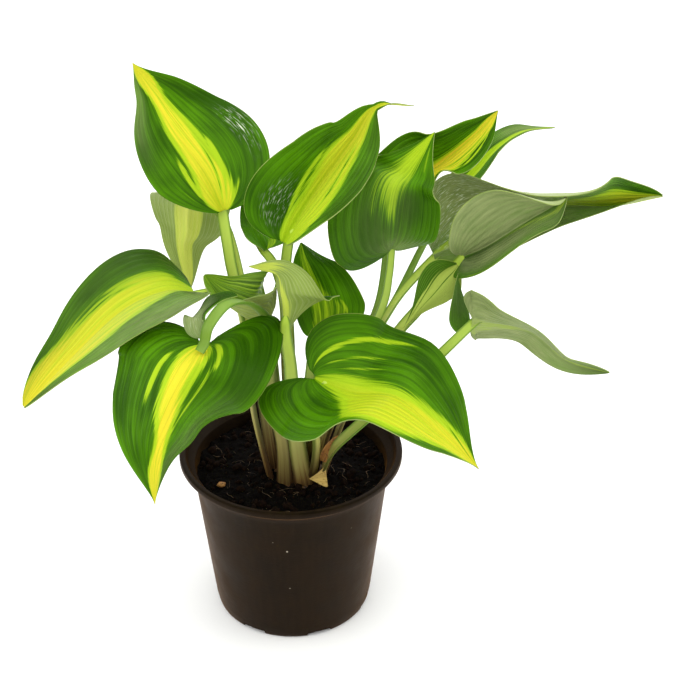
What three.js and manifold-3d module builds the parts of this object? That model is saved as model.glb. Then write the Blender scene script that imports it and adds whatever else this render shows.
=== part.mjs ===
import * as THREE from "three";
import Module from "manifold-3d";

// Potted hosta: millimetres, +Z up, origin at the centre of the pot's base,
// the fuller side of the plant towards -Y and its long leaves towards +X and -X.

// Pot
const POT_HEIGHT = 105;
const RIM_RADIUS = 65;
const LIP_HEIGHT = 3.5;
const LIP_WIDTH = 4;
const NECK_RADIUS = 57.5;
const NECK_Z = 96.5;
const BASE_RADIUS = 46;
const FOOT_RADIUS = 43;
const WALL = 1.6;
const FLOOR = 5;
const NOTCHES = 7;
const NOTCH_FIRST_DEG = -120;
const NOTCH = { wide: 15, deep: 3.4, high: 3 };
const POT_SEGMENTS = 48;

// Soil and crown
const GAP = 0.35;
const SOIL_GAP = 0.55;
const SOIL_TOP = 92;
const SOIL_BUMP = 1.4;
const SOIL_FLAT_RADIUS = 27;
const SOIL_SEGMENTS = 36;
const CROWN = { x: 4, y: -7, radius: 17.5, high: 3.4 };

// Leaf stalks: half width and half thickness at the foot and at the leaf
const STALK_FOOT = [2.7, 2.2];
const STALK_NECK = [2.3, 1.5];
const STALK_SIDES = 8;
const STALK_STEPS = 9;
const STALK_LAP = 1.5;
const STALK_UNDER = 1.15;

// Leaf blades
const BLADE_THICK = 0.9;
const BLADE_ACROSS = 6;
const BLADE_ALONG = 11;
const BLADE_START = 0.035;
const BLADE_END = 0.985;

const COLOURS = {
  pot: "#3a302a",
  soil: "#120d0a",
  crown: "#d3cf9f",
  leaf: "#3f8a1c",
  stalk: "#8fae4c",
  husk: "#8a5a36",
};

// One entry for each leaf. mid: the midrib from the stalk to the tip. head: the plan direction
// that the leaf grows in. half: half widths left and right of the midrib. wide: where it is
// widest. blunt: fullness. tail: where a drawn-out tip begins. lobe: how far the heart lobes
// reach back. flare: extra width near the tip. curl: how the halves curve. roll: turn about
// the midrib, and fold: how far both halves are raised, at the base, the middle and the tip.
const LEAVES = [
  {
    name: "leaf_01",
    mid: [[-35, 21, 248], [-46, 31, 268], [-63, 43, 288], [-75, 53, 305], [-85, 58, 321]],
    head: 90, half: [28, 39], wide: 0.34, blunt: 1.2, tail: 1,
    lobe: [0, 0.09], flare: [-0.2, 0], curl: [-15, -10],
    roll: [4, -5, 10], fold: [28, -7, 8],
  },
  {
    name: "leaf_02",
    mid: [[-51, 38, 256], [-57, 52, 237], [-60, 62, 214], [-63, 68, 200], [-61, 70, 172]],
    head: 90, half: [26, 24], wide: 0.28, blunt: 0.8, tail: 1,
    lobe: [0.1, 0.1], flare: [0, 0], curl: [0, 0],
    roll: [12, -8, 13], fold: [-3, 15, 6],
  },
  {
    name: "leaf_03",
    mid: [[-51, 0, 210], [-67, -6, 214], [-90, -16, 207], [-118, -28, 184], [-145, -38, 158]],
    head: 200, half: [28, 34], wide: 0.27, blunt: 0.6, tail: 1,
    lobe: [0.1, 0.03], flare: [-0.1, -0.1], curl: [4, -6],
    roll: [-11, 23, 15], fold: [12, 13, 30],
  },
  {
    name: "leaf_04",
    mid: [[-44, -42, 201], [-52, -60, 196], [-63, -76, 180], [-70, -88, 161], [-69, -94, 133]],
    head: 255, half: [41, 47], wide: 0.34, blunt: 1.4, tail: 1,
    lobe: [0.57, 0.21], flare: [0, 0], curl: [-28, -11],
    roll: [10, 18, 7], fold: [-4, -34, 12],
  },
  {
    name: "leaf_05",
    mid: [
      [-10.3, 2.8, 189.3], [-17.9, 0.8, 191.4], [-26.5, -0.2, 196.2],
      [-37.8, 0.8, 205.7], [-46, 2.8, 218.8],
    ],
    head: 180, half: [33, 32], wide: 0.3, blunt: 0.77, tail: 1,
    lobe: [0, 0], flare: [0.03, 0.05], curl: [7, 9],
    roll: [-30, 4, 34], fold: [50, 60, 14],
  },
  {
    name: "leaf_06",
    mid: [
      [-1.4, -13.3, 246.2], [9.4, -1.6, 260.9], [23.2, 10.2, 277.6],
      [35.9, 20.1, 292.3], [48.7, 25.9, 309], [69.3, 29.9, 308.1],
    ],
    head: 90, half: [34, 30], wide: 0.38, blunt: 0.8, tail: 0.8,
    lobe: [0.08, 0.07], flare: [0, 0], curl: [-5, 3],
    roll: [31, -8, -2], fold: [38, 42, 13],
  },
  {
    name: "leaf_07",
    mid: [[57.6, 4, 232.9], [60.2, 0, 246.4], [63.1, 2, 270.5], [69.2, 8, 279.5], [79.6, 16, 299]],
    head: 90, half: [39, 22], wide: 0.37, blunt: 1.1, tail: 1,
    lobe: [0.22, 0.08], flare: [0.03, 0.15], curl: [0, 0],
    roll: [-24, 11, 33], fold: [6, 6, 1],
  },
  {
    name: "leaf_08",
    mid: [[14, -36, 177], [36, -48, 175], [60, -60, 179], [85, -68, 159], [104, -72, 141]],
    head: -35, half: [46, 42], wide: 0.37, blunt: 1.4, tail: 1,
    lobe: [0.21, 0.32], flare: [0.1, 0], curl: [3, -9],
    roll: [-38, 0, 1], fold: [11, 17, 30],
  },
  {
    name: "leaf_09",
    mid: [
      [-1.2, -13, 188.6], [-0.8, -20, 209.9], [-1.8, -22, 220.9],
      [-3.8, -23, 233.8], [-19.7, -23, 238.7],
    ],
    head: -90, half: [30, 8], wide: 0.37, blunt: 1, tail: 1,
    lobe: [0.03, 0.07], flare: [0, 0], curl: [0, 33],
    roll: [-3, 32, 27], fold: [63, 17, -6],
  },
  {
    name: "leaf_10",
    mid: [[15, 3, 181], [12, 5, 194], [10, 8, 207], [7, 13, 221], [7, 20, 230]],
    head: 90, half: [8, 32], wide: 0.33, blunt: 0.9, tail: 1,
    lobe: [0.1, 0.09], flare: [0, 0], curl: [0, 0],
    roll: [1, 4, -3], fold: [6, 9, 2],
  },
  {
    name: "leaf_11",
    mid: [[53, 24, 247], [70, 30, 262], [86, 38, 271], [104, 44, 285], [116, 48, 297]],
    head: 90, half: [26, 23], wide: 0.33, blunt: 1, tail: 1,
    lobe: [0.13, 0.05], flare: [0, 0], curl: [2, 8],
    roll: [31, 7, -22], fold: [23, 47, 8],
  },
  {
    name: "leaf_12",
    mid: [[92, 52, 243], [105, 58, 255], [117, 62, 268], [131, 64, 277], [150, 64, 280]],
    head: 60, half: [14, 10], wide: 0.37, blunt: 0.9, tail: 1,
    lobe: [0.05, 0.05], flare: [0, 0], curl: [0, 0],
    roll: [4, 36, 20], fold: [2, 14, 6],
  },
  {
    name: "leaf_13",
    mid: [
      [96.9, 14, 223.7], [109.8, 11, 232.2], [129.9, 8, 248.7],
      [143.8, 6, 259.2], [151.2, 5, 265.8],
    ],
    head: -5, half: [36, 16], wide: 0.36, blunt: 0.79, tail: 1,
    lobe: [0.02, 0.21], flare: [-0.08, 0.25], curl: [33, 0],
    roll: [-74, -55, -101], fold: [49, 40, 60],
  },
  {
    name: "leaf_14",
    mid: [
      [79.9, 34, 214.2], [110.7, 36, 231.8], [144.8, 36, 244.9],
      [179, 35, 245], [208.9, 34, 251.6],
    ],
    head: 0, half: [45, 21], wide: 0.37, blunt: 0.81, tail: 1,
    lobe: [0, 0.02], flare: [0.44, -0.02], curl: [36, 0],
    roll: [-38, -72, -11], fold: [-16, 56, 67],
  },
  {
    name: "leaf_15",
    mid: [[101, -16, 198], [109, -15, 198], [133, -15, 193], [154, -17, 176], [179, -18, 168]],
    head: -10, half: [22, 17], wide: 0.28, blunt: 0.8, tail: 1,
    lobe: [0.15, 0.05], flare: [0, 0], curl: [0, 0],
    roll: [-98, -131, -100], fold: [-17, 14, 26],
  },
  {
    name: "leaf_16",
    mid: [[94.4, 2, 220.5], [93.9, 0, 214.6], [94.4, -2, 205.6], [95.5, -4, 195.2], [96.3, -5, 184.8]],
    head: -80, half: [6, 6], wide: 0.75, blunt: 0.67, tail: 1,
    lobe: [0, 0], flare: [-0.02, 0.03], curl: [0, 0],
    roll: [9, 17, -15], fold: [1, -7, -3],
  },
  {
    name: "leaf_17",
    mid: [[-13, 24, 223], [-18, 34, 225], [-21, 44, 227], [-24, 52, 234], [-25, 58, 244]],
    head: 90, half: [8, 20], wide: 0.33, blunt: 0.9, tail: 1,
    lobe: [0.07, 0.1], flare: [0, 0], curl: [0, 0],
    roll: [-15, -6, 0], fold: [25, 16, 6],
  },
  {
    name: "leaf_18",
    mid: [
      [-41.9, -43.8, 205.5], [-44.1, -42.9, 216.3], [-43, -39.9, 220.3],
      [-35, -34.9, 224.6], [-25.6, -30.2, 224.6],
    ],
    head: 60, half: [18, 2], wide: 0.36, blunt: 0.58, tail: 1,
    lobe: [0.01, 0], flare: [0.02, 0], curl: [0, 0],
    roll: [2, 26, -3], fold: [14, -19, 12],
  },
];

// The thin wing along the stalk of the long right-hand leaf, in the same terms
const WINGS = [
  {
    name: "wing_13",
    mid: [[64.2, -0.5, 185.8], [72.3, 2.9, 197.2], [79, 6.3, 205.6], [86, 9.7, 214.6], [94, 11.9, 220.5]],
    head: 90, half: [13, 14], wide: 0.74, blunt: 0.62, tail: 1,
    lobe: [0, 0], flare: [0, 0], curl: [0, 0],
    roll: [5, 2, -14], fold: [15, 20, 38],
  },
];

// Dry scales at the foot of the plant, in the same terms
const SCALES = [
  {
    name: "bract_front",
    mid: [[15, -22, 97], [18, -23, 99], [22, -23, 101], [25, -22, 104]],
    head: -10, half: [4, 4], wide: 0.4, blunt: 0.8, tail: 1,
    lobe: [0, 0], flare: [0, 0], curl: [0, 0],
    roll: [40, 40, 40], fold: [10, 10, 10],
  },
  {
    name: "scale_brown",
    mid: [[21, -15, 99], [24, -16, 107], [27, -16, 114], [30, -16, 120]],
    head: 0, half: [3, 3], wide: 0.5, blunt: 0.8, tail: 1,
    lobe: [0, 0], flare: [0, 0], curl: [0, 0],
    roll: [-60, -60, -60], fold: [20, 20, 20],
  },
];

// One entry for each stalk: the leaf it carries, its foot on the crown, and the points it
// passes through on its way up. seat is its distance under a leaf that sits closer or further;
// the one that comes down on its leaf from above states its end.
const STALKS = [
  { leaf: "leaf_01", foot: [-10, -4], via: [[-16, 3, 140], [-23, 11, 183], [-31, 17, 211], [-34, 20, 231]] },
  { leaf: "leaf_02", foot: [-6, 4], via: [[-13, 14, 140], [-25, 27, 190], [-35, 34, 233]], seat: 0.9 },
  { leaf: "leaf_03", foot: [-11, -11], via: [[-20, -7, 137], [-24, 2, 180], [-29, 7, 200], [-40, 5, 208]] },
  {
    leaf: "leaf_04",
    foot: [-5, -18],
    via: [[-11, -8, 145], [-11, -6, 185], [-13, -8, 200], [-21, -30, 222], [-31, -44, 229], [-40, -49, 219]],
    end: [-43, -46, 204.5],
  },
  { leaf: "leaf_05", foot: [-3, -9], via: [[-5, -6, 145], [-8, 0, 175]], seat: 0.5 },
  { leaf: "leaf_06", foot: [-2, -2], via: [[0, 2, 140], [0, 1, 184], [-1, -6, 222]], seat: 0.7 },
  { leaf: "leaf_07", foot: [12, -6], via: [[23, -7, 135], [36, -6, 166], [49, -2, 200], [55, 2, 219]], seat: 1.6 },
  { leaf: "leaf_08", foot: [12, -14], via: [[15, -25, 126], [12, -34, 155]], seat: 0.95 },
  { leaf: "leaf_09", foot: [5, -19], via: [[3, -14, 134], [1, -11, 169]] },
  { leaf: "leaf_10", foot: [5, -12], via: [[8, -7, 127], [12, -2, 158]] },
  { leaf: "leaf_11", foot: [6, -4], via: [[26, 2, 150], [44, 12, 190], [53, 19, 230]] },
  { leaf: "leaf_12", foot: [8, 4], via: [[34, 16, 149], [56, 31, 186], [76, 46, 218]] },
  { leaf: "leaf_13", foot: [18, -7], via: [[31, -8, 135], [46, -3, 163], [62, 3.5, 183], [72, 7, 194], [86, 12.5, 210]] },
  { leaf: "leaf_14", foot: [13, 0], via: [[34, 6, 150], [53, 14, 183], [65, 22, 199]], seat: 1.6 },
  { leaf: "leaf_15", foot: [16.7, -16.2], via: [[26, -23, 119], [44, -25, 139], [74, -21, 170]], seat: 1.5 },
  { leaf: "leaf_17", foot: [1, 4], via: [[-2, 11, 149], [-3, 19, 191], [-8, 23, 213]] },
];

const wasm = await Module();
wasm.setup();
const { Manifold } = wasm;

function material(key, roughness) {
  return new THREE.MeshStandardMaterial({ color: COLOURS[key], roughness, metalness: 0 });
}

function node(name, geometry, key, roughness) {
  const mesh = new THREE.Mesh(geometry, material(key, roughness));
  mesh.name = name;
  return mesh;
}

function toManifold(geometry) {
  const position = geometry.getAttribute("position");
  const mesh = new wasm.Mesh({
    numProp: 3,
    vertProperties: new Float32Array(position.array),
    triVerts: new Uint32Array(geometry.index.array),
  });
  mesh.merge();
  return new Manifold(mesh);
}

function fromManifold(solid) {
  const mesh = solid.getMesh();
  const geometry = new THREE.BufferGeometry();
  const corners = new Float32Array(mesh.vertProperties);
  geometry.setAttribute("position", new THREE.BufferAttribute(corners, 3));
  geometry.setIndex(Array.from(mesh.triVerts));
  geometry.computeVertexNormals();
  return geometry;
}

function turned(profile, segments) {
  const points = profile.map(([r, z]) => new THREE.Vector2(r, z));
  const geometry = new THREE.LatheGeometry(points, segments);
  geometry.rotateX(Math.PI / 2);
  return geometry;
}

// Radius of the pot's inner wall at height z, below the neck.
function innerRadius(z) {
  const t = z / NECK_Z;
  return BASE_RADIUS + (NECK_RADIUS - BASE_RADIUS) * t - WALL;
}

function potBody() {
  const lipInner = RIM_RADIUS - LIP_WIDTH;
  const lipZ = POT_HEIGHT - LIP_HEIGHT;
  return turned(
    [
      [0, 0],
      [FOOT_RADIUS, 0],
      [BASE_RADIUS - 0.6, 1.2],
      [BASE_RADIUS, 3],
      [NECK_RADIUS, NECK_Z],
      [RIM_RADIUS - 0.5, lipZ],
      [RIM_RADIUS, lipZ + 0.5],
      [RIM_RADIUS, POT_HEIGHT - 0.5],
      [RIM_RADIUS - 0.5, POT_HEIGHT],
      [lipInner, POT_HEIGHT],
      [lipInner - 0.4, lipZ + 0.5],
      [NECK_RADIUS - WALL, NECK_Z + 0.8],
      [innerRadius(FLOOR), FLOOR],
      [0, FLOOR],
    ],
    POT_SEGMENTS,
  );
}

function notch(angle) {
  const block = new THREE.BoxGeometry(NOTCH.deep * 2, NOTCH.wide, NOTCH.high * 2);
  block.translate(BASE_RADIUS, 0, 0);
  block.rotateZ(THREE.MathUtils.degToRad(angle));
  return toManifold(block);
}

function pot() {
  let solid = toManifold(potBody());
  for (let i = 0; i < NOTCHES; i += 1) {
    solid = solid.subtract(notch(NOTCH_FIRST_DEG + (i * 360) / NOTCHES));
  }
  return node("pot", fromManifold(solid), "pot", 0.6);
}

// A soft unevenness that repeats from build to build.
function bump(x, y) {
  return Math.sin(x * 0.31 + 1.3) * Math.cos(y * 0.27 - 0.6) + 0.5 * Math.sin(x * 0.73 - y * 0.61);
}

function soil() {
  const bottom = FLOOR + GAP;
  const edge = innerRadius(SOIL_TOP) - SOIL_GAP;
  const geometry = turned(
    [
      [0, bottom],
      [innerRadius(bottom) - SOIL_GAP, bottom],
      [edge, SOIL_TOP - 1],
      [edge - 4, SOIL_TOP],
      [edge - 12, SOIL_TOP],
      [SOIL_FLAT_RADIUS + 3, SOIL_TOP],
      [SOIL_FLAT_RADIUS, SOIL_TOP],
      [0, SOIL_TOP],
    ],
    SOIL_SEGMENTS,
  );
  const position = geometry.getAttribute("position");
  for (let i = 0; i < position.count; i += 1) {
    const x = position.getX(i);
    const y = position.getY(i);
    const r = Math.hypot(x, y);
    const open = position.getZ(i) > SOIL_TOP - 0.5 && r > SOIL_FLAT_RADIUS + 1 && r < edge - 2;
    if (open) {
      position.setZ(i, SOIL_TOP + (SOIL_BUMP * bump(x, y)) / 1.5);
    }
  }
  return node("soil", geometry, "soil", 0.95);
}

function crown() {
  const { radius, high, x, y } = CROWN;
  const geometry = turned(
    [
      [0, 0],
      [radius, 0],
      [radius - 0.5, high * 0.6],
      [radius - 1.6, high],
      [0, high],
    ],
    24,
  );
  geometry.translate(x, y, SOIL_TOP + GAP);
  return node("crown", geometry, "crown", 0.7);
}

function vector([x, y, z]) {
  return new THREE.Vector3(x, y, z);
}

// A smooth curve through evenly counted points, with mirrored end points.
class Spline extends THREE.Curve {
  constructor(points) {
    super();
    const last = points.length - 1;
    const before = points[0].clone().multiplyScalar(2).sub(points[1]);
    const after = points[last].clone().multiplyScalar(2).sub(points[last - 1]);
    this.knots = [before, ...points, after];
  }

  getPoint(t, target = new THREE.Vector3()) {
    const spans = this.knots.length - 3;
    const s = THREE.MathUtils.clamp(t, 0, 1) * spans;
    const i = Math.min(Math.floor(s), spans - 1);
    const f = s - i;
    const [a, b, c, d] = this.knots.slice(i, i + 4);
    const ease = (key) =>
      0.5 *
      (2 * b[key] +
        (c[key] - a[key]) * f +
        (2 * a[key] - 5 * b[key] + 4 * c[key] - d[key]) * f * f +
        (3 * b[key] - a[key] - 3 * c[key] + d[key]) * f * f * f);
    return target.set(ease("x"), ease("y"), ease("z"));
  }

  getTangent(t, target = new THREE.Vector3()) {
    const step = 0.001;
    const from = this.getPoint(Math.max(t - step, 0));
    const to = this.getPoint(Math.min(t + step, 1));
    return target.copy(to).sub(from).normalize();
  }
}

// The same easing for three angles, in degrees, given back in radians.
function eased([a, b, c], t) {
  const curve = new Spline([a, b, c].map((value) => new THREE.Vector3(value, 0, 0)));
  return THREE.MathUtils.degToRad(curve.getPoint(t).x);
}

// Directions at a point of a midrib or stalk: along it, across it and out of its upper side.
function frameAt(curve, t, head) {
  const along = curve.getTangent(THREE.MathUtils.clamp(t, 0, 1));
  const angle = THREE.MathUtils.degToRad(head);
  const across = new THREE.Vector3(Math.sin(angle), -Math.cos(angle), 0);
  across.addScaledVector(along, -across.dot(along)).normalize();
  const out = new THREE.Vector3().crossVectors(across, along);
  return { along, across, out };
}

// Width along the leaf as a share of the half width.
function fullness(leaf, u, side) {
  const power = Math.log(0.5) / Math.log(leaf.wide);
  const v = Math.min(u / leaf.tail, 1);
  let share = Math.sin(Math.PI * v ** power) ** leaf.blunt;
  if (leaf.tail < 1 && u > 0.5) {
    const left = THREE.MathUtils.clamp((1 - u) / (1 - leaf.tail), 0, 1);
    share = Math.max(share, 0.07 * left ** 0.7);
  }
  return share * (1 + leaf.flare[side] * Math.exp(-(((u - 0.76) / 0.1) ** 2)));
}

// A point of the blade: u along the midrib, v from -1 at the left margin to 1 at the right.
function bladePoint(leaf, curve, size, u, v) {
  const side = v > 0 ? 1 : 0;
  const k = Math.abs(v);
  const reach = 17.64 * u * (1 - u) ** 6;
  const x = u - leaf.lobe[side] * reach * k ** 1.5;
  const { along, across, out } = frameAt(curve, x, leaf.head);
  const point = curve.getPoint(THREE.MathUtils.clamp(x, 0, 1));
  point.addScaledVector(along, Math.min(x, 0) * size);
  const turn = eased(leaf.roll, x) * (side ? 1 : -1);
  const tilt = eased(leaf.fold, x) + turn;
  const bend = THREE.MathUtils.degToRad(leaf.curl[side] || 0.1);
  const radius = (leaf.half[side] * fullness(leaf, u, side)) / bend;
  const sideways = radius * (Math.sin(tilt + bend * k) - Math.sin(tilt));
  const up = radius * (Math.cos(tilt) - Math.cos(tilt + bend * k));
  point.addScaledVector(across, side ? sideways : -sideways);
  return point.addScaledVector(out, up);
}

function midribOf(leaf) {
  return new Spline(leaf.mid.map(vector));
}

function midribLength(curve) {
  let total = 0;
  for (let i = 0; i < 40; i += 1) {
    total += curve.getPoint(i / 40).distanceTo(curve.getPoint((i + 1) / 40));
  }
  return total;
}

// Bend a flat slab, closed all round, into the blade.
function blade(leaf, key, roughness) {
  const curve = midribOf(leaf);
  const size = midribLength(curve);
  const geometry = new THREE.BoxGeometry(2, 1, 1, BLADE_ACROSS, BLADE_ALONG, 1);
  const position = geometry.getAttribute("position");
  const step = 0.01;
  for (let i = 0; i < position.count; i += 1) {
    const v = position.getX(i);
    const share = position.getY(i) + 0.5;
    const u = BLADE_START + (BLADE_END - BLADE_START) * share ** 1.15;
    const at = bladePoint(leaf, curve, size, u, v);
    const along = bladePoint(leaf, curve, size, u + step, v);
    along.sub(bladePoint(leaf, curve, size, u - step, v));
    const across = bladePoint(leaf, curve, size, u, Math.min(v + 0.05, 1));
    across.sub(bladePoint(leaf, curve, size, u, Math.max(v - 0.05, -1)));
    const out = across.cross(along).normalize();
    at.addScaledVector(out, position.getZ(i) * BLADE_THICK);
    position.setXYZ(i, at.x, at.y, at.z);
  }
  return node(leaf.name, geometry, key, roughness);
}

// Where a stalk meets its blade: just under the foot of the midrib.
function stalkEnd(leaf, seat) {
  const curve = midribOf(leaf);
  const start = BLADE_START + STALK_LAP / midribLength(curve);
  const { across, out } = frameAt(curve, start, leaf.head);
  const turn = THREE.MathUtils.degToRad(leaf.roll[0]);
  const upper = out.multiplyScalar(Math.cos(turn)).addScaledVector(across, -Math.sin(turn));
  return curve.getPoint(start).addScaledVector(upper, -seat - STALK_NECK[1]);
}

// Bend an upright rod, closed at both ends, along the stalk's way up.
function stalk({ leaf, foot, via, end, seat = STALK_UNDER }) {
  const carried = LEAVES.find((entry) => entry.name === leaf);
  const ground = SOIL_TOP + GAP + CROWN.high + GAP;
  const start = new THREE.Vector3(foot[0], foot[1], ground);
  const last = end ? vector(end) : stalkEnd(carried, seat);
  const curve = new Spline([start, ...via.map(vector), last]);
  const geometry = new THREE.CylinderGeometry(1, 1, 1, STALK_SIDES, STALK_STEPS);
  const position = geometry.getAttribute("position");
  for (let i = 0; i < position.count; i += 1) {
    const t = position.getY(i) + 0.5;
    const frame = frameAt(curve, t, carried.head);
    const turn = THREE.MathUtils.degToRad(carried.roll[0] * t);
    const across = frame.across.clone().multiplyScalar(Math.cos(turn));
    across.addScaledVector(frame.out, Math.sin(turn));
    const out = frame.out.multiplyScalar(Math.cos(turn));
    out.addScaledVector(frame.across, -Math.sin(turn));
    const wide = THREE.MathUtils.lerp(STALK_FOOT[0], STALK_NECK[0], t);
    const thick = THREE.MathUtils.lerp(STALK_FOOT[1], STALK_NECK[1], t);
    const at = curve.getPoint(t);
    if (t < 0.001) {
      across.setZ(0).normalize();
      out.setZ(0).normalize();
    }
    at.addScaledVector(across, position.getX(i) * wide);
    at.addScaledVector(out, position.getZ(i) * thick);
    position.setXYZ(i, at.x, at.y, at.z);
  }
  return node(leaf.replace("leaf", "stalk"), geometry, "stalk", 0.5);
}

const plant = new THREE.Group();
plant.add(pot());
plant.add(soil());
plant.add(crown());
for (const leaf of LEAVES) {
  plant.add(blade(leaf, "leaf", 0.4));
}
for (const entry of STALKS) {
  plant.add(stalk(entry));
}
for (const wing of WINGS) {
  plant.add(blade(wing, "stalk", 0.5));
}
for (const scale of SCALES) {
  plant.add(blade(scale, "husk", 0.7));
}

export default plant;
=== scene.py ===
import math
from functools import partial

import bpy
import numpy as np
from mathutils import Matrix, Vector, noise


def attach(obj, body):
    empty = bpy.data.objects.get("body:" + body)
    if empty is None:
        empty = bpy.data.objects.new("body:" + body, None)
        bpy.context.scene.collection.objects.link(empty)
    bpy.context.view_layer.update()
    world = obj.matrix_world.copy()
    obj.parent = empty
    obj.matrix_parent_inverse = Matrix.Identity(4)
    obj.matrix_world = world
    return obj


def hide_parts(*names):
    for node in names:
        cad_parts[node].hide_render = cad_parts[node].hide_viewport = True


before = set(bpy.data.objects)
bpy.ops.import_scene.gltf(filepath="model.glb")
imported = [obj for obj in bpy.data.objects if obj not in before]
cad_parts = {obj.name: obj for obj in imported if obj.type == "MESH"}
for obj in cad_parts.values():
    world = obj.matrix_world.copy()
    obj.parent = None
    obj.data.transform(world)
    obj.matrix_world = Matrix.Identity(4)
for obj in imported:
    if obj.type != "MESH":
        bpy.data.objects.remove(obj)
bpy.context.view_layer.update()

MM = 0.001
SEED = 7

# Camera: where it stands, how far it looks down, and its lens
CAMERA_AT = (33.3, -853.5, 694.3)
CAMERA_DOWN = 31.4
CAMERA_LENS = 91.81

# Pot
POT_HEIGHT = 105
RIM_RADIUS = 65
LIP_HEIGHT = 3.5
LIP_WIDTH = 4
NECK_RADIUS = 57.5
NECK_Z = 96.5
BASE_RADIUS = 46
FOOT_RADIUS = 43
WALL = 1.6
FLOOR = 5
POT_SEGMENTS = 168
NOTCHES = 7
NOTCH_FIRST = -120
NOTCH_WIDE, NOTCH_DEEP, NOTCH_HIGH = 15, 3.4, 3

# Soil
SOIL_TOP = 92
SOIL_RADIUS = 55.0
SOIL_DEPTH = 12
SOIL_CELLS = 150
HEAP_AT = (4, -8)
SHOOTS_AT = (4, -7)
SHOOTS_CLEAR = 15
CROWN_RADIUS = 16.5
CROWN_Z = 88
CRUMBS = 420
CRUMB_SIZES = (0.5, 2.6)
THREADS = 130
THREAD_SIZES = (0.35, 1.1)
CHIP_AT = (-40, -18)
CHIP_SIZE = (2.8, 2, 1.5)

# Leaf blades and stalks
VEINS = 9
LOBE_PULL = 17.64  # brings a lobe's pull to 1 where it is greatest, a seventh of the way along
FLARE_AT, FLARE_LONG = 0.76, 0.1
TAIL_WIDTH = 0.07
GROOVE_DEEP, GROOVE_WIDE = 0.9, 1.5
MARGIN_WAVES = 2.6
BLADE_END = 0.997
STALK_SIDES = 24
STALK_STEPS = 44
STALK_FOOT_Z = 91
CAD_STALK_START = 0.035
CAD_STALK_LAP = 1.5
STALK_END = 9
STALK_SINKS = (1.5, 0.9)
FIBRE_CUTS = 8

# One entry for each leaf. mid: its midrib from stalk to tip. head: the plan direction that it
# grows in. half: half widths left and right. wide: where it is widest. blunt: fullness.
# tail: where a drawn-out tip begins. lobe: how far the heart lobes reach back. flare: extra
# width near the tip. curl: how the halves curve. roll and fold: turn about the midrib, and how
# far both halves are raised, at the base, middle and tip. quilt: height of the quilting.
# low and high: edges of the pale centre at five places along the leaf, from -1 at the left
# margin to 1 at the right. soft: how gently those edges fade. ripe: lime to yellow at base,
# middle and tip. bloom: grey wax mixed with painted sheen, left and right. faint: strength of
# the centre. streaks: extra pale streaks, each from (u, v) to (u, v) with a half width and a
# strength, which is below 0 for a green streak. patches: haze (grey wax mixed with painted
# sheen), shade (painted shade in dark blue-green) or film (painted highlight flecks) round
# (u, v), with its half length, half width and strength.
# Next come the grid across and along the blade, its thickness, the height of the waves in its
# margin, and where along the midrib it begins. What an entry leaves out is as in USUAL.
USUAL = dict(
    tail=1, lobe=(0, 0), flare=(0, 0), curl=(0, 0), quilt=0.15, soft=0.22, ripe=(0, 0, 0),
    bloom_and_sheen=(0, 0), faint=1, streaks=(), patches=(), grid=(96, 60), thick=0.5, wave=0.5, first=0.012,
)
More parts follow.
